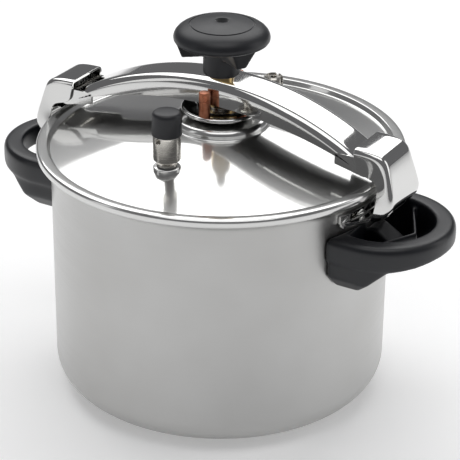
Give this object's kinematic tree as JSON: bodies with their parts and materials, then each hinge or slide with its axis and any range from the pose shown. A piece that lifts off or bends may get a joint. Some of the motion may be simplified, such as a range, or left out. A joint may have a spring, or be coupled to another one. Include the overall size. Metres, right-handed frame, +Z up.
{
  "type": "pressure canner",
  "caption": "Round steel stove-top pressure canner with side grips and a polished lid held by an arched yoke, hooked claws and a screw knob.",
  "frame": {"origin": "middle of the underside of the base", "axes": "+X along the yoke and the side grips, +Y towards the back, +Z up"},
  "size_m": [0.356, 0.26, 0.2741],
  "materials": {
    "pot_steel": "satin",
    "base_steel": "satin",
    "core_aluminium": "satin",
    "grip_bakelite": "satin",
    "knob_bakelite": "satin",
    "cap_bakelite": "satin",
    "lid_steel": "polished",
    "yoke_steel": "polished",
    "claw_steel": "polished",
    "saucer_steel": "polished",
    "fitting_steel": "turned",
    "valve_steel": "satin",
    "pin_copper": "satin",
    "nut_brass": "turned",
    "seal_rubber": "matte"
  },
  "bodies": {
    "pot": {"pot_body": "pot_steel", "base_core_disc": "core_aluminium", "base_cap": "base_steel", "handle_right": "grip_bakelite", "handle_left": "grip_bakelite", "handle_stud_right": "fitting_steel", "handle_stud_left": "fitting_steel", "handle_screw_right": "fitting_steel", "handle_screw_left": "fitting_steel"},
    "lid": {"lid": "lid_steel", "lid_gasket": "seal_rubber", "pressure_saucer": "saucer_steel", "thrust_washer": "fitting_steel", "spindle_retainer": "fitting_steel", "guide_pin_front": "pin_copper", "guide_pin_back": "pin_copper", "valve_seat": "fitting_steel", "valve_seat_washer": "seal_rubber", "valve_seat_nut": "fitting_steel", "safety_valve_body": "valve_steel", "safety_valve_washer": "seal_rubber", "safety_valve_nut": "fitting_steel", "safety_valve_plug": "fitting_steel", "safety_spring": "fitting_steel"},
    "knob": {"knob": "knob_bakelite", "knob_insert": "nut_brass", "knob_screw": "fitting_steel", "clamp_spindle": "fitting_steel"},
    "yoke": {"yoke_arch": "yoke_steel", "yoke_nut": "nut_brass", "claw_pin_right": "fitting_steel", "claw_pin_left": "fitting_steel"},
    "claw_right": {"claw_right": "claw_steel"},
    "claw_left": {"claw_left": "claw_steel"},
    "regulator_needle": {"valve_needle": "fitting_steel"},
    "regulator": {"valve_body": "valve_steel", "valve_cap": "cap_bakelite"},
    "safety_plunger": {"safety_plunger": "fitting_steel"}
  },
  "joints": [
    {"name": "lid_lift", "type": "slide", "parent": "pot", "child": "lid", "axis": [0, 0, 1], "range_m": [0, 0.0012]},
    {"name": "knob_turn", "type": "hinge", "parent": "lid", "child": "knob", "pos_m": [0, 0, 0.238], "axis": [0, 0, 1], "range_deg": [0, 720]},
    {"name": "yoke_travel", "type": "slide", "parent": "lid", "child": "yoke", "axis": [0, 0, 1], "range_m": [-0.00501, 0]},
    {"name": "claw_right_swing", "type": "hinge", "parent": "yoke", "child": "claw_right", "pos_m": [0.12, 0, 0.198], "axis": [0, -1, 0], "range_deg": [0, 18]},
    {"name": "claw_left_swing", "type": "hinge", "parent": "yoke", "child": "claw_left", "pos_m": [-0.12, 0, 0.198], "axis": [0, 1, 0], "range_deg": [0, 18]},
    {"name": "regulator_lift", "type": "slide", "parent": "lid", "child": "regulator_needle", "axis": [0, 0, 1], "range_m": [0, 0.015]},
    {"name": "regulator_turn", "type": "hinge", "parent": "regulator_needle", "child": "regulator", "pos_m": [0, -0.072, 0.2131], "axis": [0, 0, 1], "continuous": true},
    {"name": "safety_lift", "type": "slide", "parent": "lid", "child": "safety_plunger", "axis": [0, 0, 1], "range_m": [0, 0.003], "stiffness_N_per_m": 400, "springref_m": -0.002, "deforming": ["safety_spring"]}
  ],
  "couplings": [
    {"joint": "yoke_travel", "follows": "knob_turn", "m_per_rad": -0.00039789}
  ]
}
